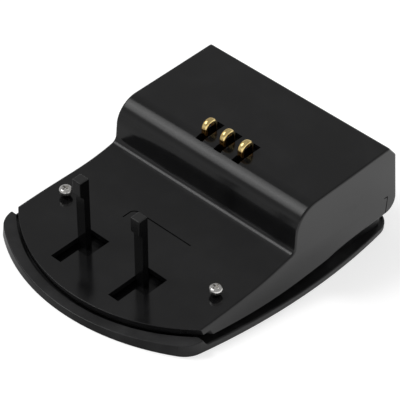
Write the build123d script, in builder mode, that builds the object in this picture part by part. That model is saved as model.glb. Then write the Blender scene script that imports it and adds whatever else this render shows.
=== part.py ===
import os
from math import cos, radians, sin

from build123d import *

# Base plate, in plan: a round front, bowed sides and a straight rear edge.
base_length = 116.0
base_margin = 5.5
base_widest_y = -3.0
base_side_radius = 277.0
base_front_radius = 68.5
base_corner_radius = 9.0
base_rim_front = 2.75
base_rim_rear = 2.25
base_floor = 1.6
base_edge_round = 0.35
base_foot_round = 0.4
ledge_depth = 2.45
ledge_length = 19.4
ledge_end_run = 1.9
ledge_end_round = 0.8
tray_wall = 0.7
groove_gap = 0.8
curb_set_in = 1.8
curb_set_back = 4.0
curb_end_gap = 2.6
curb_height = 9.5
curb_gap = 0.5
curb_thickness = 1.6
curb_round = 3.5

# Deck plane: it rises to the rear, and the two deck screws stand on its zero line.
deck_tilt = 6.85
screw_line_from_front = 34.6
screw_line_z = 9.45
deck_thickness = 2.0

# Shell: deck, ramp, step and contact block, measured along and square to the deck.
block_width = 80.0
block_top_level = 33.0
wall = 2.0
wall_draft = 0.026
flare_level = 13.5
flare_reach = 2.75
flare_foot = 4.95
flare_from_front = 50.0
flare_half_length = 48.0
skirt_front = 3.9
skirt_rear = 6.05
shell_depth = 10.1
rear_set_back = 36.5
rear_lean = 0.054
rear_bevel_run = 3.4
rear_bevel_drop = 4.4
rear_bevel_round = 1.0
rear_foot_round = 5.0
lip_radius = 59.7
lip_apex = -30.8
lip_thickness = 2.2
lip_overhang = 2.0
front_wall = 1.5
front_wall_gap = 0.4
ramp_start = 8.0
ramp_rise = 2.2
block_front = 29.2
block_height = 17.33
riser_lean = 0.077
riser_round = 9.1
riser_foot_round = 2.3
top_edge_round = 0.7
lip_edge_round = 0.2
snap_slit = 0.4
snap_slit_depth = 0.6
snap_slit_set_back = 6.7
snap_slit_top = 15.6
snap_slit_hook = 1.9
guide_line = 0.45
guide_depth = 0.6
guide_y = 10.6
guide_length = 25.4
guide_left = -12.9
guide_return = 5.1
guide_round = 2.2

# Hook posts and the stepped slots they come up through; both pairs are the same shape.
post_width = 3.7
post_depth = 2.4
post_height = 25.7
post_back = -9.0
post_spacing = 25.8
hook_overhang = 1.4
hook_height = 5.6
hook_slope = 1.5
post_round = 0.35
slot_left = -16.4
slot_wide = 8.8
slot_narrow = 4.4
slot_back = -5.8
slot_step = -15.6
slot_front = -23.2
slot_margin = 1.0
foot_drop = 1.2
foot_thickness = 1.5
post_inset = 0.1

# Contact springs: gold strip bent to a loop, standing in slots of the block's top.
contact_pitch = 8.0
contact_y = 40.8
contact_width = 2.4
contact_strip = 1.1
contact_edge_round = 1.0
contact_loop = 6.2
contact_rise = 5.3
contact_foot = 2.5
contact_slot_gap = 0.3
contact_slot_front = 35.8
contact_slot_back = 46.5
contact_gap = 0.2
contact_side_gap = 0.35
carrier_plate = 1.73
carrier_half_width = 13.5
carrier_front = 33.6
carrier_back = 49.0
carrier_gap = 0.2

# Circuit board, hung under the block's top, with its parts on the lower face.
board_drop = 7.93
board_thickness = 1.6
board_side_gap = 13.0
board_front = 33.4
board_set_back = 8.5
board_boss_across = 0.389
board_boss_along = 0.707
board_boss_radius = 2.6
chip_size = (6.2, 5.0, 1.6)
chip_across = 0.167
chip_along = 0.309
coil_radius = 4.6
coil_height = 5.0
coil_across = -0.278
coil_along = 0.309
big_can_radius = 4.0
big_can_height = 11.5
big_can_across = 0.315
big_can_along = 0.442
small_can_radius = 3.15
small_can_height = 8.0
small_can_across = -0.056
small_can_along = 0.255
diode_size = (4.4, 2.7, 2.2)
diode_across = -0.148
diode_along = 0.574

# Power inlet on the board, reached through a hole in the rear wall.
inlet_width = 9.2
inlet_height = 10.6
inlet_length = 13.7
inlet_rear_gap = 0.5
inlet_bore = 3.1
inlet_depth = 9.5
inlet_pin = 1.0
inlet_pin_set_back = 1.0
inlet_hole = 3.7

# Screws: two sizes of pan head with a cross recess.
screw_set_in = 6.3
screw_neck_radius = 1.35
screw_neck_height = 1.8
screw_head_radius = 2.25
screw_head_height = 1.7
screw_shank_radius = 1.1
screw_length = 6.5
screw_hole_radius = 1.4
screw_pilot_radius = 1.15
recess_length = 2.6
recess_width = 0.62
recess_depth = 0.9
screw_boss_radius = 3.2
base_screw_set_in = 8.0
base_screw_set_back = 14.0
base_cup_radius = 4.2
base_cup_height = 4.6
base_counterbore = 2.6
base_screw_seat = 2.0
base_screw_length = 10.0
board_screw_length = 5.0
thread_end_gap = 0.5

# Places that follow from the base's length and the block's width and height.
base_back = base_length / 2
base_width = block_width + 2 * base_margin
screw_line_y = screw_line_from_front - base_back
flare_y = flare_from_front - base_back
block_back = base_length - rear_set_back
top_under = block_height - wall
board_top = block_height - board_drop
board_under = board_top - board_thickness
board_back = block_back - board_set_back
board_width = block_width - 2 * board_side_gap
board_length = board_back - board_front
board_boss_x = board_boss_across * board_width
board_boss_y = board_front + board_boss_along * board_length
chip_at = (chip_across * board_width, board_front + chip_along * board_length)
coil_at = (coil_across * board_width, board_front + coil_along * board_length)
big_can_at = (big_can_across * board_width, board_front + big_can_along * board_length)
small_can_at = (small_can_across * board_width, board_front + small_can_along * board_length)
diode_at = (diode_across * board_width, board_front + diode_along * board_length)
screw_x = block_width / 2 - screw_set_in
base_screw_x = block_width / 2 - base_screw_set_in
base_screw_y = base_back - base_screw_set_back
curb_half_width = block_width / 2 - curb_set_in
curb_back = base_back - curb_set_back
snap_slit_y = base_back - snap_slit_set_back
contact_slot_width = contact_width + 2 * contact_slot_gap
contact_xs = (-contact_pitch, 0.0, contact_pitch)
lip_centre = lip_apex + lip_radius
front_wall_radius = lip_radius - lip_overhang - front_wall
riser_top = block_front + riser_lean * (block_height - ramp_rise)
bevel_level = block_height - rear_bevel_drop
bevel_back = block_back - rear_lean * (bevel_level + shell_depth)
inlet_axis = board_under - inlet_height / 2
inlet_back = block_back - rear_lean * (inlet_axis + shell_depth) - wall - inlet_rear_gap
inlet_front = inlet_back - inlet_length
far = 60.0

# Planes that the parts share: the deck, its side view and the lower edge of the skirts.
deck_along = Vector(0, cos(radians(deck_tilt)), sin(radians(deck_tilt)))
deck_up = Vector(0, -sin(radians(deck_tilt)), cos(radians(deck_tilt)))
deck = Plane(origin=(0, screw_line_y, screw_line_z), x_dir=(1, 0, 0), z_dir=deck_up)
side = Plane(origin=(0, screw_line_y, screw_line_z), x_dir=deck_along, z_dir=(1, 0, 0))
rim_fall = (base_rim_front - base_rim_rear) / base_length
rim_middle = (base_rim_front + base_rim_rear) / 2
curb_reach = lip_centre - (front_wall_radius**2 - curb_half_width**2) ** 0.5
curb_front = screw_line_y + curb_reach * deck_along.Y + curb_end_gap
ledge_rise = deck_along.Z / deck_along.Y
ledge_middle = screw_line_z - ledge_depth / deck_along.Y - ledge_rise * screw_line_y
ledge_end = ledge_length - base_back
ledge_top = ledge_middle + ledge_rise * ledge_end
skirt = Plane(
    origin=(0, 0, (skirt_front + skirt_rear) / 2),
    x_dir=(1, 0, 0),
    z_dir=(0, (skirt_front - skirt_rear) / base_length, 1),
)
inlet_face = Plane(
    origin=deck.from_local_coords((0, inlet_back, inlet_axis)),
    x_dir=(-1, 0, 0),
    z_dir=deck_along,
)
base_screw_along = (base_screw_y - screw_line_y) / deck_along.Y
base_top_level = screw_line_z + base_screw_along * deck_along.Z + (top_under + wall / 2) * deck_up.Z
base_boss_length = base_top_level - base_cup_height


def walls(inset):
    """Drafted side walls that flare smoothly toward a bowed foot, as sections along the length."""
    low = -9.0
    high = 48.0
    rim_share = (flare_level - flare_foot) / (flare_level - low)
    pitch = flare_half_length / 5
    rearmost = int((base_length - flare_from_front) / pitch) + 2

    def half_width(z):
        return block_width / 2 + wall_draft * (block_top_level - z) - inset

    with BuildPart() as body:
        for station in range(-6, rearmost + 1):
            y = flare_y + station * pitch
            reach = min(1.0, abs(y - flare_y) / flare_half_length)
            flare = flare_reach * (1 - reach**2) ** 2 / rim_share**2
            bend = (flare_level + low) / 2
            with BuildSketch(Plane(origin=(0, y, 0), x_dir=(1, 0, 0), z_dir=(0, -1, 0))):
                with BuildLine():
                    foot = half_width(low) + flare
                    Line((-foot, low), (foot, low))
                    Bezier((foot, low), (half_width(bend), bend), (half_width(flare_level), flare_level))
                    Line((half_width(flare_level), flare_level), (half_width(high), high))
                    Line((half_width(high), high), (-half_width(high), high))
                    Line((-half_width(high), high), (-half_width(flare_level), flare_level))
                    Bezier((-half_width(flare_level), flare_level), (-half_width(bend), bend), (-foot, low))
                make_face()
        loft()
    return body.part


with BuildSketch(side) as open_profile:
    with BuildLine():
        Polyline((-far, -far), (-far, 0), (ramp_start, 0))
        TangentArc((ramp_start, 0), (block_front, ramp_rise), tangent=(1, 0))
        Polyline(
            (block_front, ramp_rise),
            (riser_top, block_height),
            (bevel_back - rear_bevel_run, block_height),
            (bevel_back, bevel_level),
            (block_back + rear_lean * (far - shell_depth), -far),
            (-far, -far),
        )
    make_face()
    fillet(open_profile.vertices().sort_by_distance((block_front, ramp_rise))[0], riser_foot_round)
    fillet(open_profile.vertices().sort_by_distance((riser_top, block_height))[0], riser_round)
    fillet(open_profile.vertices().sort_by_distance((bevel_back, bevel_level))[0], rear_bevel_round)
    bevel_top = (bevel_back - rear_bevel_run, block_height)
    fillet(open_profile.vertices().sort_by_distance(bevel_top)[0], rear_bevel_round)

with BuildSketch(side) as outer_profile:
    add(open_profile.sketch_local)
    with Locations((0, -shell_depth)):
        Rectangle(4 * far, far, align=(Align.CENTER, Align.MAX), mode=Mode.SUBTRACT)
    fillet(outer_profile.vertices().sort_by_distance((block_back, -shell_depth))[0], rear_foot_round)

with BuildSketch(side) as inner_profile:
    add(open_profile.sketch_local)
    offset(amount=-wall, mode=Mode.REPLACE)

with BuildPart() as upper_shell:
    add(walls(0))
    extrude(outer_profile.sketch, amount=far, both=True, mode=Mode.INTERSECT)
    with BuildSketch(deck.offset(-40)):
        with Locations((0, lip_centre)):
            Circle(lip_radius)
        with Locations((0, lip_centre + far)):
            Rectangle(4 * far, 2 * far)
    extrude(amount=100, mode=Mode.INTERSECT)
    # Rounded edges of the deck, the lip and the block.
    level = Axis(deck.origin, deck_up)
    flat_tops = upper_shell.faces().filter_by(deck).sort_by(level)
    block_edges = flat_tops[-1].edges().sort_by(Axis.Y)[1:-1]
    fillet(block_edges, top_edge_round)
    lip_edge = upper_shell.faces().filter_by(deck).sort_by(level)[-2].edges().sort_by(Axis.Y)[0]
    fillet(lip_edge, lip_edge_round)
    # Hollow inside, open to the base.
    with BuildPart(mode=Mode.PRIVATE) as cavity:
        add(walls(wall))
        extrude(inner_profile.sketch, amount=far, both=True, mode=Mode.INTERSECT)
        with BuildSketch(deck.offset(-40)):
            with Locations((0, lip_centre)):
                Circle(front_wall_radius)
            with Locations((0, lip_centre + far)):
                Rectangle(4 * far, 2 * far)
        extrude(amount=100, mode=Mode.INTERSECT)
    add(cavity.part, mode=Mode.SUBTRACT)
    # The front wall stands back under the lip.
    with BuildSketch(deck.offset(-lip_thickness)):
        with Locations((0, lip_centre - far / 2)):
            Rectangle(2 * far, far)
        with Locations((0, lip_centre)):
            Circle(lip_radius - lip_overhang, mode=Mode.SUBTRACT)
    extrude(amount=-40, mode=Mode.SUBTRACT)
    # Bosses for the board and for the screws that come up through the base.
    with BuildSketch(deck.offset(board_top)):
        with Locations((-board_boss_x, board_boss_y), (board_boss_x, board_boss_y)):
            Circle(board_boss_radius)
    extrude(amount=top_under - board_top + wall / 2)
    with BuildSketch(Plane.XY.offset(base_cup_height)):
        with Locations((-base_screw_x, base_screw_y), (base_screw_x, base_screw_y)):
            Circle(screw_boss_radius)
    extrude(amount=base_boss_length)
    with BuildSketch(deck.offset(board_top)):
        with Locations((-board_boss_x, board_boss_y), (board_boss_x, board_boss_y)):
            Circle(screw_pilot_radius)
    extrude(amount=board_screw_length - board_thickness + thread_end_gap, mode=Mode.SUBTRACT)
    with BuildSketch(Plane.XY.offset(base_cup_height)):
        with Locations((-base_screw_x, base_screw_y), (base_screw_x, base_screw_y)):
            Circle(screw_pilot_radius)
    extrude(amount=base_screw_seat + base_screw_length - base_cup_height + thread_end_gap, mode=Mode.SUBTRACT)
    # Slots for the hook posts, holes for the deck screws and slots for the contacts.
    with BuildSketch(deck):
        for shift in (0, post_spacing):
            with Locations((slot_left + shift + slot_wide / 2, (slot_back + slot_step) / 2)):
                Rectangle(slot_wide, slot_back - slot_step)
            with Locations((slot_left + shift + slot_narrow / 2, (slot_step + slot_front) / 2)):
                Rectangle(slot_narrow, slot_step - slot_front)
        with Locations((-screw_x, 0), (screw_x, 0)):
            Circle(screw_hole_radius)
    extrude(amount=deck_thickness, both=True, mode=Mode.SUBTRACT)
    with BuildSketch(deck.offset(block_height)):
        with Locations(*[(x, (contact_slot_front + contact_slot_back) / 2) for x in contact_xs]):
            Rectangle(contact_slot_width, contact_slot_back - contact_slot_front)
    extrude(amount=-wall - 1, mode=Mode.SUBTRACT)
    # A fine engraved line on the deck behind the right-hand post.
    with BuildSketch(deck.offset(1)):
        with BuildLine():
            FilletPolyline(
                (guide_left + guide_length, guide_y),
                (guide_left, guide_y),
                (guide_left, guide_y - guide_return),
                radius=guide_round,
            )
        trace(line_width=guide_line)
    extrude(amount=-1 - guide_depth, mode=Mode.SUBTRACT)
    # Opening for the power inlet in the rear wall.
    with BuildSketch(inlet_face):
        Circle(inlet_hole)
    extrude(amount=20, mode=Mode.SUBTRACT)
    # The front wall ends just off the floor of the base, and the skirts end above its rim.
    with Locations((0, 0, base_floor + front_wall_gap)):
        Box(4 * far, 4 * far, 20, align=(Align.CENTER, Align.CENTER, Align.MAX), mode=Mode.SUBTRACT)
    with BuildSketch(skirt):
        with Locations((-curb_half_width - far, 0), (curb_half_width + far, 0)):
            Rectangle(2 * far, 4 * far)
    extrude(amount=-20, mode=Mode.SUBTRACT)
    slit_x = block_width / 2 + wall_draft * (block_top_level - snap_slit_top) - snap_slit_depth + 5
    for x in (-slit_x, slit_x):
        with Locations((x, snap_slit_y - snap_slit / 2, snap_slit_top / 2)):
            Box(10, snap_slit, snap_slit_top, mode=Mode.SUBTRACT)
        with Locations((x, snap_slit_y - snap_slit_hook / 2, snap_slit_top - snap_slit / 2)):
            Box(10, snap_slit_hook, snap_slit, mode=Mode.SUBTRACT)

with BuildPart() as base_plate:
    with BuildSketch() as base_outline:
        with Locations((0, base_front_radius - base_back)):
            Circle(base_front_radius)
        with Locations((0, base_front_radius - base_back + far)):
            Rectangle(4 * far, 2 * far)
        for x in (base_side_radius - base_width / 2, base_width / 2 - base_side_radius):
            with Locations((x, base_widest_y)):
                Circle(base_side_radius, mode=Mode.INTERSECT)
        Rectangle(2 * base_width, base_length, mode=Mode.INTERSECT)
        fillet(base_outline.vertices(), base_corner_radius)
    extrude(amount=ledge_top + 2)
    # A low rim along the sides and the rear; in front a higher ledge that falls with the deck.
    with BuildSketch(Plane.YZ) as above_rim:
        with BuildLine():
            Polyline(
                (-2 * far, ledge_middle - 2 * far * ledge_rise),
                (ledge_end, ledge_top),
                (ledge_end + ledge_end_run, rim_middle - rim_fall * (ledge_end + ledge_end_run)),
                (2 * far, rim_middle - rim_fall * 2 * far),
                (2 * far, far),
                (-2 * far, far),
                close=True,
            )
        make_face()
        fillet(above_rim.vertices().sort_by_distance((ledge_end, 0))[:2], ledge_end_round)
    extrude(amount=2 * far, both=True, mode=Mode.SUBTRACT)
    rim_face = base_plate.faces().filter_by(lambda f: f.normal_at().Z > 0.9).sort_by(SortBy.AREA)[-1]
    fillet(rim_face.edges().sort_by(Axis.Y)[1:], base_edge_round)
    fillet(base_plate.faces().sort_by(Axis.Z)[0].edges(), base_foot_round)
    # Tray inside a thin rim, with a wider ledge in front of the lip.
    with BuildPart(mode=Mode.PRIVATE) as tray:
        with BuildSketch(Plane.XY.offset(base_floor)):
            add(base_outline.sketch_local)
            offset(amount=-tray_wall, mode=Mode.REPLACE)
        extrude(amount=20)
        with BuildSketch(deck.offset(-40)):
            with Locations((0, lip_centre)):
                Circle(lip_radius + groove_gap)
            with Locations((0, lip_centre + far)):
                Rectangle(4 * far, 2 * far)
        extrude(amount=100, mode=Mode.INTERSECT)
    add(tray.part, mode=Mode.SUBTRACT)
    # Curb that closes the gap under the lifted foot of the shell, up to just under the deck.
    with BuildPart(mode=Mode.PRIVATE) as curb:
        with BuildSketch(Plane.XY.offset(base_floor)) as ring:
            with Locations((0, curb_back - far)):
                Rectangle(2 * curb_half_width, 2 * far)
            fillet(ring.vertices().group_by(Axis.Y)[-1], curb_round)
            offset(amount=-curb_thickness, mode=Mode.SUBTRACT)
            with Locations((0, curb_front + far)):
                Rectangle(4 * far, 2 * far, mode=Mode.INTERSECT)
        extrude(amount=curb_height - base_floor)
        with BuildSketch(deck.offset(-deck_thickness - curb_gap)):
            Rectangle(4 * far, 8 * far)
        extrude(amount=20, mode=Mode.SUBTRACT)
    add(curb.part)
    # Bosses under the deck screws, blocks under the feet of the posts, cups for the base screws.
    with BuildPart(mode=Mode.PRIVATE) as stands:
        with BuildSketch(deck.offset(-deck_thickness)):
            with Locations((-screw_x, 0), (screw_x, 0)):
                Circle(screw_boss_radius)
        extrude(amount=-20)
        with BuildSketch(deck.offset(-deck_thickness - foot_drop - foot_thickness)):
            for shift in (0, post_spacing):
                with Locations((slot_left + shift + slot_wide / 2, (slot_back + slot_step) / 2)):
                    Rectangle(slot_wide - 1, slot_back - slot_step - 1)
        extrude(amount=-20)
        with Locations((0, 0, base_floor / 2 + far)):
            Box(4 * far, 4 * far, 2 * far, mode=Mode.INTERSECT)
    add(stands.part)
    with BuildSketch(Plane.XY.offset(base_floor / 2)):
        with Locations((-base_screw_x, base_screw_y), (base_screw_x, base_screw_y)):
            Circle(base_cup_radius)
    extrude(amount=base_cup_height - base_floor / 2)
    with BuildSketch():
        with Locations((-base_screw_x, base_screw_y), (base_screw_x, base_screw_y)):
            Circle(base_counterbore)
    extrude(amount=base_screw_seat, mode=Mode.SUBTRACT)
    with BuildSketch():
        with Locations((-base_screw_x, base_screw_y), (base_screw_x, base_screw_y)):
            Circle(screw_hole_radius)
    extrude(amount=base_cup_height, mode=Mode.SUBTRACT)
    with BuildSketch(deck.offset(-deck_thickness)):
        with Locations((-screw_x, 0), (screw_x, 0)):
            Circle(screw_pilot_radius)
    extrude(amount=-(screw_length - deck_thickness + thread_end_gap), mode=Mode.SUBTRACT)


def hook_post(shift):
    """An upright with a hook toward the front, on a stepped foot that closes its slot from below."""
    with BuildPart() as post:
        with BuildSketch(deck.offset(-deck_thickness - foot_drop)):
            with Locations((slot_left + shift + slot_wide / 2, (slot_back + slot_step) / 2)):
                Rectangle(slot_wide + 2 * slot_margin, slot_back - slot_step + 2 * slot_margin)
            with Locations((slot_left + shift + slot_narrow / 2, (slot_step + slot_front - slot_margin) / 2)):
                Rectangle(slot_narrow + 2 * slot_margin, slot_step - slot_front + slot_margin)
        extrude(amount=-foot_thickness)
        left = slot_left + shift + post_inset
        front = post_back - post_depth
        under = post_height - hook_height
        bottom = -deck_thickness - foot_drop - foot_thickness / 2
        with BuildSketch(side.offset(left)):
            Polygon(
                (post_back, bottom),
                (post_back, post_height),
                (front - hook_overhang, post_height),
                (front - hook_overhang, under),
                (front, under - hook_slope),
                (front, bottom),
                align=None,
            )
        extrude(amount=post_width)
        head = post.edges().filter_by(lambda e: deck.to_local_coords(e.center()).Z > under)
        fillet(head, post_round)
    return post.part


with BuildPart() as hook_post_left:
    add(hook_post(0))

with BuildPart() as hook_post_right:
    add(hook_post(post_spacing))


def contact(x):
    """A strip bent to an upright loop, crowned outside, with two feet turned outward below."""
    foot_top = top_under - carrier_plate - contact_gap
    crown = block_height + contact_rise
    half = contact_loop / 2
    with BuildPart() as strip:
        with BuildSketch(side.offset(x - contact_width / 2)):
            for reach, how in ((half, Mode.ADD), (half - contact_strip, Mode.SUBTRACT)):
                with Locations((contact_y, crown - half)):
                    Circle(reach, mode=how)
                low = foot_top - contact_strip
                with Locations((contact_y, (crown - half + low) / 2)):
                    Rectangle(2 * reach, crown - half - low, mode=how)
        extrude(amount=contact_width)
        crowned = strip.edges().filter_by(GeomType.CIRCLE).sort_by(SortBy.RADIUS)[-2:]
        fillet(crowned, contact_edge_round)
        with BuildSketch(side.offset(x - contact_width / 2)):
            for way in (-1, 1):
                start = half - contact_strip / 2
                with Locations((contact_y + way * (start + contact_foot) / 2 + way * start / 2, foot_top)):
                    Rectangle(contact_foot, contact_strip, align=(Align.CENTER, Align.MAX))
        extrude(amount=contact_width)
    return strip.part


with BuildPart() as contact_left:
    add(contact(contact_xs[0]))

with BuildPart() as contact_middle:
    add(contact(contact_xs[1]))

with BuildPart() as contact_right:
    add(contact(contact_xs[2]))

with BuildPart() as contact_carrier:
    with BuildSketch(side.offset(-carrier_half_width)):
        add(inner_profile.sketch_local)
        offset(amount=-carrier_gap, mode=Mode.REPLACE)
        with Locations(((carrier_front + carrier_back) / 2, board_top)):
            Rectangle(
                carrier_back - carrier_front,
                far,
                align=(Align.CENTER, Align.MIN),
                mode=Mode.INTERSECT,
            )
    extrude(amount=2 * carrier_half_width)
    chamber = contact_loop + 2 * (contact_foot + contact_side_gap)
    with BuildSketch(deck.offset(board_top)):
        with Locations(*[(x, contact_y) for x in contact_xs]):
            Rectangle(contact_width + 2 * contact_side_gap, chamber)
    extrude(amount=top_under - carrier_plate - board_top, mode=Mode.SUBTRACT)
    with BuildSketch(deck.offset(board_top)):
        with Locations(*[(x, contact_y) for x in contact_xs]):
            Rectangle(contact_width + 2 * contact_side_gap, contact_loop + 2 * contact_side_gap)
    extrude(amount=far, mode=Mode.SUBTRACT)

with BuildPart() as circuit_board:
    with BuildSketch(deck.offset(board_under)):
        with Locations((0, (board_front + board_back) / 2)):
            Rectangle(board_width, board_back - board_front)
        with Locations((-board_boss_x, board_boss_y), (board_boss_x, board_boss_y)):
            Circle(screw_hole_radius, mode=Mode.SUBTRACT)
    extrude(amount=board_thickness)

with BuildPart() as charge_chip:
    with BuildSketch(deck.offset(board_under)):
        with Locations(chip_at):
            Rectangle(chip_size[0], chip_size[1])
    extrude(amount=-chip_size[2])

with BuildPart() as rectifier_diode:
    with BuildSketch(deck.offset(board_under)):
        with Locations(diode_at):
            Rectangle(diode_size[0], diode_size[1])
    extrude(amount=-diode_size[2])

with BuildPart() as power_coil:
    with BuildSketch(deck.offset(board_under)):
        with Locations(coil_at):
            Circle(coil_radius)
    extrude(amount=-coil_height)
    with BuildSketch(deck.offset(board_under - coil_height * 0.2)):
        with Locations(coil_at):
            Circle(coil_radius + 1)
            Circle(coil_radius * 0.8, mode=Mode.SUBTRACT)
    extrude(amount=-coil_height * 0.6, mode=Mode.SUBTRACT)

with BuildPart() as smoothing_capacitor:
    with BuildSketch(deck.offset(board_under)):
        with Locations(big_can_at):
            Circle(big_can_radius)
    extrude(amount=-big_can_height)

with BuildPart() as output_capacitor:
    with BuildSketch(deck.offset(board_under)):
        with Locations(small_can_at):
            Circle(small_can_radius)
    extrude(amount=-small_can_height)

with BuildPart() as dc_inlet:
    with BuildSketch(inlet_face):
        Rectangle(inlet_width, inlet_height)
    extrude(amount=-(inlet_back - inlet_front))
    with BuildSketch(inlet_face):
        Circle(inlet_bore)
    extrude(amount=-inlet_depth, mode=Mode.SUBTRACT)

with BuildPart() as dc_inlet_pin:
    with BuildSketch(inlet_face.offset(-inlet_depth)):
        Circle(inlet_pin)
    extrude(amount=inlet_depth - inlet_pin_set_back)


def pan_screw(seat, length):
    """A domed head with a cross recess above the seat, and a plain shank below it."""
    with BuildPart() as screw:
        with BuildSketch(seat):
            Circle(screw_head_radius)
        extrude(amount=screw_head_height)
        crown = screw.edges().sort_by(Axis(seat.origin, seat.z_dir))[-1]
        fillet(crown, screw_head_height * 0.6)
        with BuildSketch(seat.offset(screw_head_height)):
            Rectangle(recess_length, recess_width)
            Rectangle(recess_width, recess_length)
        extrude(amount=-recess_depth, mode=Mode.SUBTRACT)
        with BuildSketch(seat):
            Circle(screw_shank_radius)
        extrude(amount=-length)
    return screw.part


def deck_seat(x, y, z, up):
    return Plane(origin=deck.from_local_coords((x, y, z)), x_dir=(1, 0, 0), z_dir=deck_up * up)


def screw_neck(x):
    """The cone under a deck screw's head, which stands on the edge of its hole."""
    with BuildPart() as neck:
        with Locations(deck_seat(x, 0, 0, 1)):
            Cone(
                screw_neck_radius,
                screw_head_radius,
                screw_neck_height,
                align=(Align.CENTER, Align.CENTER, Align.MIN),
            )
    return neck.part


with BuildPart() as deck_screw_left:
    add(pan_screw(deck_seat(-screw_x, 0, screw_neck_height, 1), screw_length + screw_neck_height))
    add(screw_neck(-screw_x))

with BuildPart() as deck_screw_right:
    add(pan_screw(deck_seat(screw_x, 0, screw_neck_height, 1), screw_length + screw_neck_height))
    add(screw_neck(screw_x))

with BuildPart() as board_screw_left:
    add(pan_screw(deck_seat(-board_boss_x, board_boss_y, board_under, -1), board_screw_length))

with BuildPart() as board_screw_right:
    add(pan_screw(deck_seat(board_boss_x, board_boss_y, board_under, -1), board_screw_length))

with BuildPart() as base_screw_left:
    base_seat = Plane(origin=(-base_screw_x, base_screw_y, base_screw_seat), z_dir=(0, 0, -1))
    add(pan_screw(base_seat, base_screw_length))

with BuildPart() as base_screw_right:
    base_seat = Plane(origin=(base_screw_x, base_screw_y, base_screw_seat), z_dir=(0, 0, -1))
    add(pan_screw(base_seat, base_screw_length))

os.makedirs("parts", exist_ok=True)

upper_shell.part.label = "upper_shell"
export_step(upper_shell.part, "parts/upper_shell.step")

base_plate.part.label = "base_plate"
export_step(base_plate.part, "parts/base_plate.step")

hook_post_left.part.label = "hook_post_left"
export_step(hook_post_left.part, "parts/hook_post_left.step")

hook_post_right.part.label = "hook_post_right"
export_step(hook_post_right.part, "parts/hook_post_right.step")

deck_screw_left.part.label = "deck_screw_left"
export_step(deck_screw_left.part, "parts/deck_screw_left.step")

deck_screw_right.part.label = "deck_screw_right"
export_step(deck_screw_right.part, "parts/deck_screw_right.step")

contact_left.part.label = "contact_left"
export_step(contact_left.part, "parts/contact_left.step")

contact_middle.part.label = "contact_middle"
export_step(contact_middle.part, "parts/contact_middle.step")

contact_right.part.label = "contact_right"
export_step(contact_right.part, "parts/contact_right.step")

contact_carrier.part.label = "contact_carrier"
export_step(contact_carrier.part, "parts/contact_carrier.step")

circuit_board.part.label = "circuit_board"
export_step(circuit_board.part, "parts/circuit_board.step")

charge_chip.part.label = "charge_chip"
export_step(charge_chip.part, "parts/charge_chip.step")

rectifier_diode.part.label = "rectifier_diode"
export_step(rectifier_diode.part, "parts/rectifier_diode.step")

power_coil.part.label = "power_coil"
export_step(power_coil.part, "parts/power_coil.step")

smoothing_capacitor.part.label = "smoothing_capacitor"
export_step(smoothing_capacitor.part, "parts/smoothing_capacitor.step")

output_capacitor.part.label = "output_capacitor"
export_step(output_capacitor.part, "parts/output_capacitor.step")

dc_inlet.part.label = "dc_inlet"
export_step(dc_inlet.part, "parts/dc_inlet.step")

dc_inlet_pin.part.label = "dc_inlet_pin"
export_step(dc_inlet_pin.part, "parts/dc_inlet_pin.step")

board_screw_left.part.label = "board_screw_left"
export_step(board_screw_left.part, "parts/board_screw_left.step")

board_screw_right.part.label = "board_screw_right"
export_step(board_screw_right.part, "parts/board_screw_right.step")

base_screw_left.part.label = "base_screw_left"
export_step(base_screw_left.part, "parts/base_screw_left.step")

base_screw_right.part.label = "base_screw_right"
export_step(base_screw_right.part, "parts/base_screw_right.step")
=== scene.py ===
import bpy
from mathutils import Matrix, Vector

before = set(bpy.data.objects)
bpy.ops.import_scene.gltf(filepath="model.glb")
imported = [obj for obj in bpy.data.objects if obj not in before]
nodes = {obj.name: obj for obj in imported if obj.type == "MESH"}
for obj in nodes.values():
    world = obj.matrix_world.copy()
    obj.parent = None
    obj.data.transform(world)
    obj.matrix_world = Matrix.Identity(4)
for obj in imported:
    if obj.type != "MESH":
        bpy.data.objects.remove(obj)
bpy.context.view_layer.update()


# Base plate: the lens-shaped lower half of the case, a shallow tray with a thin rim. It is
# moulded in black plastic with an even spark texture, and stands flat on the table.
def place(tree, kind, inputs=None, **settings):
    """Add a shader node; each input is a value, or a socket to link from."""
    made = tree.nodes.new(kind)
    for name, value in settings.items():
        setattr(made, name, value)
    for name, value in (inputs or {}).items():
        if isinstance(value, bpy.types.NodeSocket):
            tree.links.new(value, made.inputs[name])
        else:
            made.inputs[name].default_value = value
    return made.outputs


def sums(tree, operation, *terms):
    return place(tree, "ShaderNodeMath", dict(enumerate(terms)), operation=operation)["Value"]


def span(tree, value, low, high, start=0.0, end=1.0):
    """Carry a value from the range low to high over to start to end, with soft ends."""
    inputs = {"Value": value, "From Min": low, "From Max": high, "To Min": start, "To Max": end}
    return place(tree, "ShaderNodeMapRange", inputs, interpolation_type="SMOOTHSTEP")["Result"]


def noise(tree, vector, scale, detail=2.0, rough=0.5):
    inputs = {"Vector": vector, "Scale": scale, "Detail": detail, "Roughness": rough}
    return place(tree, "ShaderNodeTexNoise", inputs)["Fac"]


def stretched(tree, vector, scale, turn=(0.0, 0.0, 0.0)):
    inputs = {"Vector": vector, "Scale": scale, "Rotation": turn}
    return place(tree, "ShaderNodeMapping", inputs)["Vector"]


def relief(tree, strength, distance, height, **under):
    inputs = {"Strength": strength, "Distance": distance, "Height": height, **under}
    return place(tree, "ShaderNodeBump", inputs)["Normal"]


def mixed(tree, factor, first, second):
    inputs = {"Factor": factor, "A": first, "B": second}
    return place(tree, "ShaderNodeMix", inputs, data_type="RGBA")["Result"]


def blended(tree, factor, first, second):
    return mixed(tree, factor, (*first, 1.0), (*second, 1.0))


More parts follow.
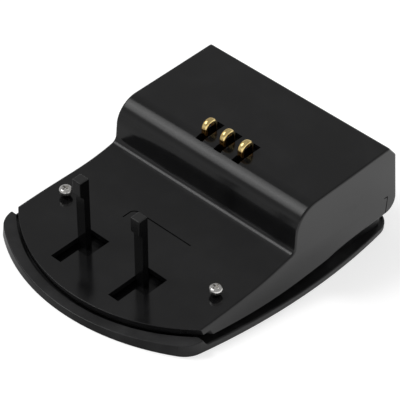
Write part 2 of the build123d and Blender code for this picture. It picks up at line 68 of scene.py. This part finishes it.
def start_group(name, inputs, outputs):
    group = bpy.data.node_groups.new(name, "ShaderNodeTree")
    for label, value in inputs.items():
        socket = group.interface.new_socket(label, in_out="INPUT", socket_type="NodeSocketFloat")
        socket.default_value = value
    for label, kind in outputs.items():
        group.interface.new_socket(label, in_out="OUTPUT", socket_type=kind)
    return group


def moulding_skin():
    """Polished flats, spark-textured walls, hazy patches, hairline scuffs, settled dust, and
    painted light that makes faces turned up paler.
    """
    group = start_group(
        "moulding skin",
        {
            "Polish": 0.12,
            "Bends": 0.25,
            "Texture": 0.3,
            "Haze": 0.08,
            "Ripple": 0.04,
            "Top Grain": 0.0,
            "Wall Grain": 0.2,
            "Painted Top Light": 0.0,
            "Bloom": 0.45,
            "Dust": 0.3,
        },
        {"Roughness": "NodeSocketFloat", "Lift": "NodeSocketFloat", "Normal": "NodeSocketVector"},
    )
    given = place(group, "NodeGroupInput")
    spot = place(group, "ShaderNodeTexCoord")
    facing = place(group, "ShaderNodeSeparateXYZ", {"Vector": spot["Normal"]})
    upward = span(group, facing["Z"], 0.8, 0.96)
    lit = span(group, facing["Z"], 0.25, 0.6)
    sideways = span(group, sums(group, "ABSOLUTE", facing["X"]), 0.4, 0.85)
    patches = span(group, noise(group, spot["Object"], 55.0, 4.0, 0.6), 0.4, 0.75)
    lines = stretched(group, spot["Object"], (4200.0, 60.0, 60.0), (0.0, 0.0, 0.45))
    scuffs = span(group, noise(group, lines, 1.0, 1.0), 0.66, 0.74)
    scuffs = sums(group, "MULTIPLY", scuffs, patches)
    specks = span(group, noise(group, spot["Object"], 2300.0, 0.0), 0.74, 0.8)
    settled = sums(group, "MULTIPLY", specks, upward)
    dust = sums(group, "MULTIPLY", settled, given["Dust"])
    level = span(group, upward, 0.0, 1.0, given["Bends"], given["Polish"])
    finish = span(group, sideways, 0.0, 1.0, level, given["Texture"])
    hazed = sums(group, "MULTIPLY_ADD", patches, given["Haze"], finish)
    rough = sums(group, "MULTIPLY_ADD", scuffs, 0.12, hazed)
    lift = sums(group, "MULTIPLY_ADD", scuffs, 0.25, dust)
    lift = sums(group, "MULTIPLY_ADD", patches, given["Bloom"], lift)
    # Painted light: faces turned upward, roundings among them, are made paler.
    lift = sums(group, "MULTIPLY_ADD", lit, given["Painted Top Light"], lift)
    waves = noise(group, spot["Object"], 150.0)
    ripple = relief(group, given["Ripple"], 0.0003, waves)
    tooth = span(group, sideways, 0.0, 1.0, given["Top Grain"], given["Wall Grain"])
    sparks = noise(group, spot["Object"], 5200.0, 1.0)
    grain = relief(group, tooth, 0.00003, sparks, Normal=ripple)
    place(group, "NodeGroupOutput", {"Roughness": rough, "Lift": lift, "Normal": grain})
    return group


mould_skin = moulding_skin()


def start_material(name):
    material = bpy.data.materials.new(name)
    material.use_nodes = True
    return material, material.node_tree, material.node_tree.nodes["Principled BSDF"]


def feed(tree, shader, sockets):
    """Link what varies over the surface to the shader's inputs of those names."""
    for name, socket in sockets.items():
        tree.links.new(socket, shader.inputs[name])


def moulded(name, tone, lifted, level, skin_values):
    material, tree, shader = start_material(name)
    shader.inputs["Specular IOR Level"].default_value = level
    skin = place(tree, "ShaderNodeGroup", skin_values, node_tree=mould_skin)
    tint = blended(tree, skin["Lift"], tone, lifted)
    finish = {"Base Color": tint, "Roughness": skin["Roughness"], "Normal": skin["Normal"]}
    feed(tree, shader, finish)
    return material


def dress(material, *names):
    for name in names:
        nodes[name].data.materials.clear()
        nodes[name].data.materials.append(material)


base_black = moulded(
    "base black",
    (0.0055, 0.0055, 0.0058),
    (0.045, 0.045, 0.046),
    0.28,
    {
        "Polish": 0.42,
        "Bends": 0.14,
        "Texture": 0.46,
        "Haze": 0.08,
        "Ripple": 0.03,
        "Top Grain": 0.3,
        "Wall Grain": 0.35,
        # Painted light: faces turned up, the rim's rounding among them, are made paler.
        "Painted Top Light": 0.2,
        "Dust": 0.35,
    },
)
dress(base_black, "base_plate")

# Hook posts: slim uprights with a hook to the front, on stepped feet that close their slots
# from below. Satin black nylon, moulded in one piece, with painted light on the upward faces high
# on the hooks.
post_black = moulded(
    "post black",
    (0.0035, 0.0035, 0.0037),
    (0.032, 0.032, 0.032),
    0.17,
    {
        "Polish": 0.2,
        "Bends": 0.15,
        "Texture": 0.18,
        "Haze": 0.06,
        "Ripple": 0.06,
        "Wall Grain": 0.1,
        "Bloom": 0.05,
        "Dust": 0.2,
    },
)
hook_foot = 0.7
hook_top = 0.85
head_light_amount = 0.85
post_tree = post_black.node_tree
post_skin = next(node for node in post_tree.nodes if node.type == "GROUP")
spot = place(post_tree, "ShaderNodeTexCoord")
height = place(post_tree, "ShaderNodeSeparateXYZ", {"Vector": spot["Generated"]})["Z"]
# Painted light: the upward faces high on the hooks are made paler.
head_light = span(post_tree, height, hook_foot, hook_top, 0.0, head_light_amount)
post_tree.links.new(head_light, post_skin.inputs["Painted Top Light"])
dress(post_black, "hook_post_left", "hook_post_right")


# Circuit board: a glass-fibre sheet under a green solder mask, with copper tracks raised under
# the mask and small plated holes. It hangs from two bosses under the block's top.
def coated_board():
    material, tree, shader = start_material("board green")
    shader.inputs["Specular IOR Level"].default_value = 0.5
    spot = place(tree, "ShaderNodeTexCoord")
    runs = place(
        tree,
        "ShaderNodeTexBrick",
        {
            "Vector": spot["Object"],
            "Color1": (1.0, 1.0, 1.0, 1.0),
            "Color2": (1.0, 1.0, 1.0, 1.0),
            "Mortar": (0.0, 0.0, 0.0, 1.0),
            "Scale": 160.0,
            "Mortar Size": 0.05,
            "Mortar Smooth": 0.2,
            "Brick Width": 1.3,
            "Row Height": 0.35,
        },
        offset=0.37,
    )["Fac"]
    cells = place(tree, "ShaderNodeTexVoronoi", {"Vector": spot["Object"], "Scale": 330.0})
    holes = span(tree, cells["Distance"], 0.14, 0.1)
    weave = noise(tree, stretched(tree, spot["Object"], (2500.0, 900.0, 900.0)), 1.0)
    mask = blended(tree, runs, (0.006, 0.085, 0.028), (0.016, 0.17, 0.05))
    tint = mixed(tree, holes, mask, (0.55, 0.5, 0.4, 1.0))
    rough = span(tree, weave, 0.3, 0.7, 0.28, 0.45)
    tracks = relief(tree, 0.5, 0.00005, runs)
    feed(tree, shader, {"Base Color": tint, "Roughness": rough, "Normal": tracks})
    return material


dress(coated_board(), "circuit_board")


# Chip and diode: small epoxy packages on the board's lower face. They are pressed in a mould
# with a matt, slightly pitted skin, and soldered at their ends.
def pressed_epoxy():
    material, tree, shader = start_material("chip black")
    shader.inputs["Specular IOR Level"].default_value = 0.4
    spot = place(tree, "ShaderNodeTexCoord")
    pits = noise(tree, spot["Object"], 6000.0, 2.0)
    bloom = noise(tree, spot["Object"], 400.0, 3.0)
    tint = blended(tree, bloom, (0.012, 0.012, 0.013), (0.03, 0.03, 0.031))
    rough = span(tree, pits, 0.3, 0.7, 0.5, 0.68)
    pitted = relief(tree, 0.4, 0.00004, pits)
    feed(tree, shader, {"Base Color": tint, "Roughness": rough, "Normal": pitted})
    return material


dress(pressed_epoxy(), "charge_chip", "rectifier_diode")


# Power coil: a spool of pressed ferrite, dark grey between its flanges and wound with enamelled
# copper wire in the groove. Its lower flange is soldered to the board.
def wound_ferrite():
    material, tree, shader = start_material("coil ferrite")
    spot = place(tree, "ShaderNodeTexCoord")
    parts = place(tree, "ShaderNodeSeparateXYZ", {"Vector": spot["Generated"]})
    across = sums(tree, "SUBTRACT", parts["X"], 0.5)
    along = sums(tree, "SUBTRACT", parts["Y"], 0.5)
    squares = sums(tree, "MULTIPLY_ADD", across, across, sums(tree, "MULTIPLY", along, along))
    groove = span(tree, sums(tree, "SQRT", squares), 0.46, 0.43)
    middle = sums(tree, "ABSOLUTE", sums(tree, "SUBTRACT", parts["Z"], 0.5))
    wire = sums(tree, "MULTIPLY", groove, span(tree, middle, 0.34, 0.3))
    turns = place(
        tree,
        "ShaderNodeTexWave",
        {"Vector": spot["Generated"], "Scale": 4.0, "Distortion": 0.3},
        bands_direction="Z",
    )["Fac"]
    powder = noise(tree, spot["Object"], 3000.0, 2.0)
    ferrite = blended(tree, powder, (0.02, 0.02, 0.021), (0.05, 0.05, 0.05))
    # Painted light and shade: the copper is made paler on each turn and darker in the grooves
    # between turns.
    shaded_copper = blended(tree, turns, (0.2, 0.05, 0.015), (0.62, 0.22, 0.07))
    tint = mixed(tree, wire, ferrite, shaded_copper)
    rough = span(tree, wire, 0.0, 1.0, 0.7, 0.3)
    ridges = relief(tree, 0.6, 0.0001, sums(tree, "MULTIPLY", turns, wire))
    finish = {"Base Color": tint, "Metallic": wire, "Roughness": rough, "Normal": ridges}
    feed(tree, shader, finish)
    return material


dress(wound_ferrite(), "power_coil")


# Capacitors: two drawn aluminium cans that stand down from the board. The drawing leaves fine
# lines round the can, and the metal has dulled in patches.
def drawn_metal():
    """Fine drawing lines, dull patches, and the roughness and relief that go with them."""
    group = start_group(
        "drawn metal",
        {
            "Lines X": 60.0,
            "Lines Y": 60.0,
            "Lines Z": 60.0,
            "Gloss": 0.2,
            "Spread": 0.15,
            "Relief": 0.1,
        },
        {
            "Streak": "NodeSocketFloat",
            "Tarnish": "NodeSocketFloat",
            "Roughness": "NodeSocketFloat",
            "Normal": "NodeSocketVector",
        },
    )
    given = place(group, "NodeGroupInput")
    spot = place(group, "ShaderNodeTexCoord")
    pitch = {"X": given["Lines X"], "Y": given["Lines Y"], "Z": given["Lines Z"]}
    scale = place(group, "ShaderNodeCombineXYZ", pitch)["Vector"]
    streak = noise(group, stretched(group, spot["Object"], scale), 1.0, 2.0)
    tarnish = span(group, noise(group, spot["Object"], 700.0, 4.0, 0.6), 0.5, 0.75)
    rough = sums(group, "MULTIPLY_ADD", streak, given["Spread"], given["Gloss"])
    rough = sums(group, "MULTIPLY_ADD", tarnish, 0.15, rough)
    scored = relief(group, given["Relief"], 0.00002, streak)
    results = {"Streak": streak, "Tarnish": tarnish, "Roughness": rough, "Normal": scored}
    place(group, "NodeGroupOutput", results)
    return group


metal_skin = drawn_metal()


def metal(name, bright, dull, skin_values):
    material, tree, shader = start_material(name)
    shader.inputs["Metallic"].default_value = 1.0
    skin = place(tree, "ShaderNodeGroup", skin_values, node_tree=metal_skin)
    dulled = sums(tree, "MULTIPLY", skin["Tarnish"], 0.5)
    worn = sums(tree, "MULTIPLY_ADD", skin["Streak"], 0.2, dulled)
    tint = blended(tree, worn, bright, dull)
    finish = {"Base Color": tint, "Roughness": skin["Roughness"], "Normal": skin["Normal"]}
    feed(tree, shader, finish)
    return material


can_aluminium = metal(
    "can aluminium",
    (0.78, 0.79, 0.8),
    (0.5, 0.51, 0.53),
    {
        "Lines X": 90.0,
        "Lines Y": 90.0,
        "Lines Z": 5000.0,
        "Gloss": 0.24,
        "Spread": 0.2,
        "Relief": 0.2,
    },
)
dress(can_aluminium, "smoothing_capacitor", "output_capacitor")

# Power inlet: a black nylon socket on the board behind the hole in the rear wall, with a round
# brass pin in the middle of its bore.
inlet_black = moulded(
    "inlet black",
    (0.008, 0.008, 0.0085),
    (0.025, 0.025, 0.026),
    0.4,
    {
        "Polish": 0.4,
        "Bends": 0.4,
        "Texture": 0.42,
        "Haze": 0.1,
        "Ripple": 0.05,
        "Wall Grain": 0.3,
        "Dust": 0.2,
    },
)
dress(inlet_black, "dc_inlet")
pin_brass = metal(
    "pin brass",
    (0.78, 0.62, 0.3),
    (0.5, 0.36, 0.14),
    {
        "Lines X": 200.0,
        "Lines Y": 4000.0,
        "Lines Z": 200.0,
        "Gloss": 0.16,
        "Spread": 0.15,
        "Relief": 0.1,
    },
)
dress(pin_brass, "dc_inlet_pin")

# Contact carrier: a black block of glass-filled nylon under the block's top. Its three chambers
# guide the springs, and its skin is dull with fine fibre marks.
carrier_black = moulded(
    "carrier black",
    (0.006, 0.006, 0.0062),
    (0.02, 0.02, 0.02),
    0.3,
    {
        "Polish": 0.5,
        "Bends": 0.5,
        "Texture": 0.55,
        "Haze": 0.12,
        "Ripple": 0.1,
        "Top Grain": 0.3,
        "Wall Grain": 0.4,
        "Dust": 0.2,
    },
)
dress(carrier_black, "contact_carrier")


# Contact springs: phosphor-bronze strip with a crowned outer face, bent to upright loops and
# plated with gold. They stand in slots of the block's top and press down under a battery.
def plated_contact():
    """Bright gold on the crown that rubs on the battery, darkening to brown down the legs as
    painted shade.
    """
    material, tree, shader = start_material("contact gold")
    shader.inputs["Metallic"].default_value = 1.0
    skin = place(
        tree,
        "ShaderNodeGroup",
        {
            "Lines X": 3500.0,
            "Lines Y": 90.0,
            "Lines Z": 90.0,
            "Gloss": 0.06,
            "Spread": 0.1,
            "Relief": 0.08,
        },
        node_tree=metal_skin,
    )
    spot = place(tree, "ShaderNodeTexCoord")
    height = place(tree, "ShaderNodeSeparateXYZ", {"Vector": spot["Generated"]})["Z"]
    # Painted shade: the colour turns dark brown lower down the loop, on the legs.
    leg_shade = span(tree, sums(tree, "MULTIPLY_ADD", skin["Streak"], 0.08, height), 0.86, 0.72)
    rubbed = sums(tree, "MULTIPLY", span(tree, skin["Streak"], 0.35, 0.65), 0.35)
    worn = sums(tree, "MULTIPLY_ADD", skin["Tarnish"], 0.55, rubbed)
    crown = blended(tree, worn, (1.0, 0.8, 0.36), (0.42, 0.2, 0.04))
    tint = mixed(tree, leg_shade, crown, (0.34, 0.17, 0.04, 1.0))
    finish = {"Base Color": tint, "Roughness": skin["Roughness"], "Normal": skin["Normal"]}
    feed(tree, shader, finish)
    return material


dress(plated_contact(), "contact_left", "contact_middle", "contact_right")

# Upper shell: the deck, ramp, step and contact block in one black moulding. The tool is polished
# on the flats that face up, and finely textured on the drafted walls.
case_black = moulded(
    "case black",
    (0.0045, 0.0045, 0.0048),
    (0.013, 0.013, 0.0135),
    0.42,
    {
        "Polish": 0.12,
        "Bends": 0.18,
        "Texture": 0.3,
        "Haze": 0.06,
        "Ripple": 0.05,
        "Wall Grain": 0.12,
        "Dust": 0.25,
    },
)
dress(case_black, "upper_shell")


# Screws: steel pan heads with a cross recess, turned and nickel plated. The tool leaves fine
# rings round the head, and the necks under the deck screws' heads are painted dark as shade.
def turned_steel(name, shade_below):
    material, tree, shader = start_material(name)
    shader.inputs["Metallic"].default_value = 1.0
    spot = place(tree, "ShaderNodeTexCoord")
    centre = {"Vector": spot["Generated"], "Location": (-0.5, -0.5, 0.0)}
    centred = place(tree, "ShaderNodeMapping", centre)
    rings = place(
        tree,
        "ShaderNodeTexWave",
        {"Vector": centred["Vector"], "Scale": 9.0, "Distortion": 0.6, "Detail": 1.0},
        wave_type="RINGS",
        rings_direction="Z",
    )["Fac"]
    dulled = noise(tree, spot["Object"], 1500.0, 3.0)
    height = place(tree, "ShaderNodeSeparateXYZ", {"Vector": spot["Generated"]})["Z"]
    # Painted shade: below this height, under the head, the steel is made dark.
    neck_shade = span(tree, height, shade_below, shade_below - 0.03)
    plating = blended(tree, dulled, (0.82, 0.81, 0.79), (0.55, 0.54, 0.52))
    tint = mixed(tree, neck_shade, plating, (0.06, 0.058, 0.055, 1.0))
    smooth = span(tree, dulled, 0.35, 0.7, 0.12, 0.26)
    rough = sums(tree, "MULTIPLY_ADD", rings, 0.08, smooth)
    turned = relief(tree, 0.15, 0.00003, rings)
    feed(tree, shader, {"Base Color": tint, "Roughness": rough, "Normal": turned})
    return material


dress(turned_steel("deck screw steel", 0.82), "deck_screw_left", "deck_screw_right")
dress(
    turned_steel("screw steel", -0.1),
    "board_screw_left",
    "board_screw_right",
    "base_screw_left",
    "base_screw_right",
)

# Floor: a wide sheet of pale paper under the charger. The camera sees it lifted to white with
# the charger's shadow on it, and reflections see it glow paler toward the right, a painted light.
half_floor = 30.0
floor_grey = 0.55
floor_lift = 0.66
gloss_lift = 0.05
glow_right = 0.74
glow_slope = 0.5
glow_start = 0.012
glow_end = 0.032
corners = ((-1, -1), (1, -1), (1, 1), (-1, 1))
sheet = bpy.data.meshes.new("floor")
sheet.from_pydata([(x * half_floor, y * half_floor, 0) for x, y in corners], [], [(0, 1, 2, 3)])
floor = bpy.data.objects.new("floor", sheet)
bpy.context.scene.collection.objects.link(floor)
paper, tree, shader = start_material("floor paper")
shader.inputs["Base Color"].default_value = (floor_grey, floor_grey, floor_grey, 1.0)
shader.inputs["Roughness"].default_value = 0.9
shader.inputs["Specular IOR Level"].default_value = 0.0
shader.inputs["Emission Color"].default_value = (1.0, 1.0, 1.0, 1.0)
seen = place(tree, "ShaderNodeLightPath")
shown = sums(tree, "MAXIMUM", seen["Is Camera Ray"], seen["Is Transmission Ray"])
lift = sums(tree, "MULTIPLY", shown, floor_lift)
spot = place(tree, "ShaderNodeTexCoord")
where = place(tree, "ShaderNodeSeparateXYZ", {"Vector": spot["Object"]})
# Painted light: in reflections the floor glows paler toward the right.
slant = sums(tree, "MULTIPLY_ADD", where["Y"], glow_slope, where["X"])
painted_glow = span(tree, slant, glow_start, glow_end, gloss_lift, glow_right)
lift = sums(tree, "MULTIPLY_ADD", seen["Is Glossy Ray"], painted_glow, lift)
feed(tree, shader, {"Emission Strength": lift})
sheet.materials.append(paper)

# Light: a grey room, paler toward the floor, with a white card low at the right, and one broad
# soft box high at the front left, brighter in its middle as such a box is.
room_level = 0.37
low_level = 0.22
card_level = 0.4
world = bpy.data.worlds.new("room")
bpy.context.scene.world = world
world.use_nodes = True
room = world.node_tree
spot = place(room, "ShaderNodeTexCoord")
toward = place(room, "ShaderNodeSeparateXYZ", {"Vector": spot["Generated"]})
low = span(room, toward["Z"], 0.45, 0.2)
card = sums(room, "MULTIPLY", low, span(room, toward["X"], 0.1, 0.5))
level = sums(room, "MULTIPLY_ADD", low, low_level, room_level)
level = sums(room, "MULTIPLY_ADD", card, card_level, level)
room.nodes["Background"].inputs["Color"].default_value = (1.0, 1.0, 1.0, 1.0)
room.links.new(level, room.nodes["Background"].inputs["Strength"])

box_place = Vector((-0.73, -0.55, 1.08))
box_aim = Vector((0.0, 0.0, 0.02))


def soft_box(name, side, power):
    lamp = bpy.data.lights.new(name, "AREA")
    lamp.shape = "SQUARE"
    lamp.size = side
    lamp.energy = power
    holder = bpy.data.objects.new(name, lamp)
    holder.location = box_place
    holder.rotation_euler = (box_place - box_aim).to_track_quat("Z", "Y").to_euler()
    bpy.context.scene.collection.objects.link(holder)


soft_box("soft_box", 0.8, 3.0)
soft_box("soft_box_middle", 0.4, 7.0)

# Camera: a long lens at the photograph's angle, from the right front and above. It stands three
# quarters of a metre off, so the edges draw together as little as they do there.
camera_place = Vector((0.396957, -0.466698, 0.468923))
right = Vector((0.72216, 0.68697, 0.08105))
up = Vector((-0.45822, 0.38731, 0.80001))
back = right.cross(up)
lens = bpy.data.cameras.new("camera")
lens.sensor_width = 36.0
lens.lens = 212.14
lens.clip_start = 0.01
camera = bpy.data.objects.new("camera", lens)
camera_turn = Matrix((right, up, back)).transposed().to_4x4()
camera.matrix_world = Matrix.Translation(camera_place) @ camera_turn
bpy.context.scene.collection.objects.link(camera)
bpy.context.scene.camera = camera
bpy.context.scene.view_settings.view_transform = "Standard"
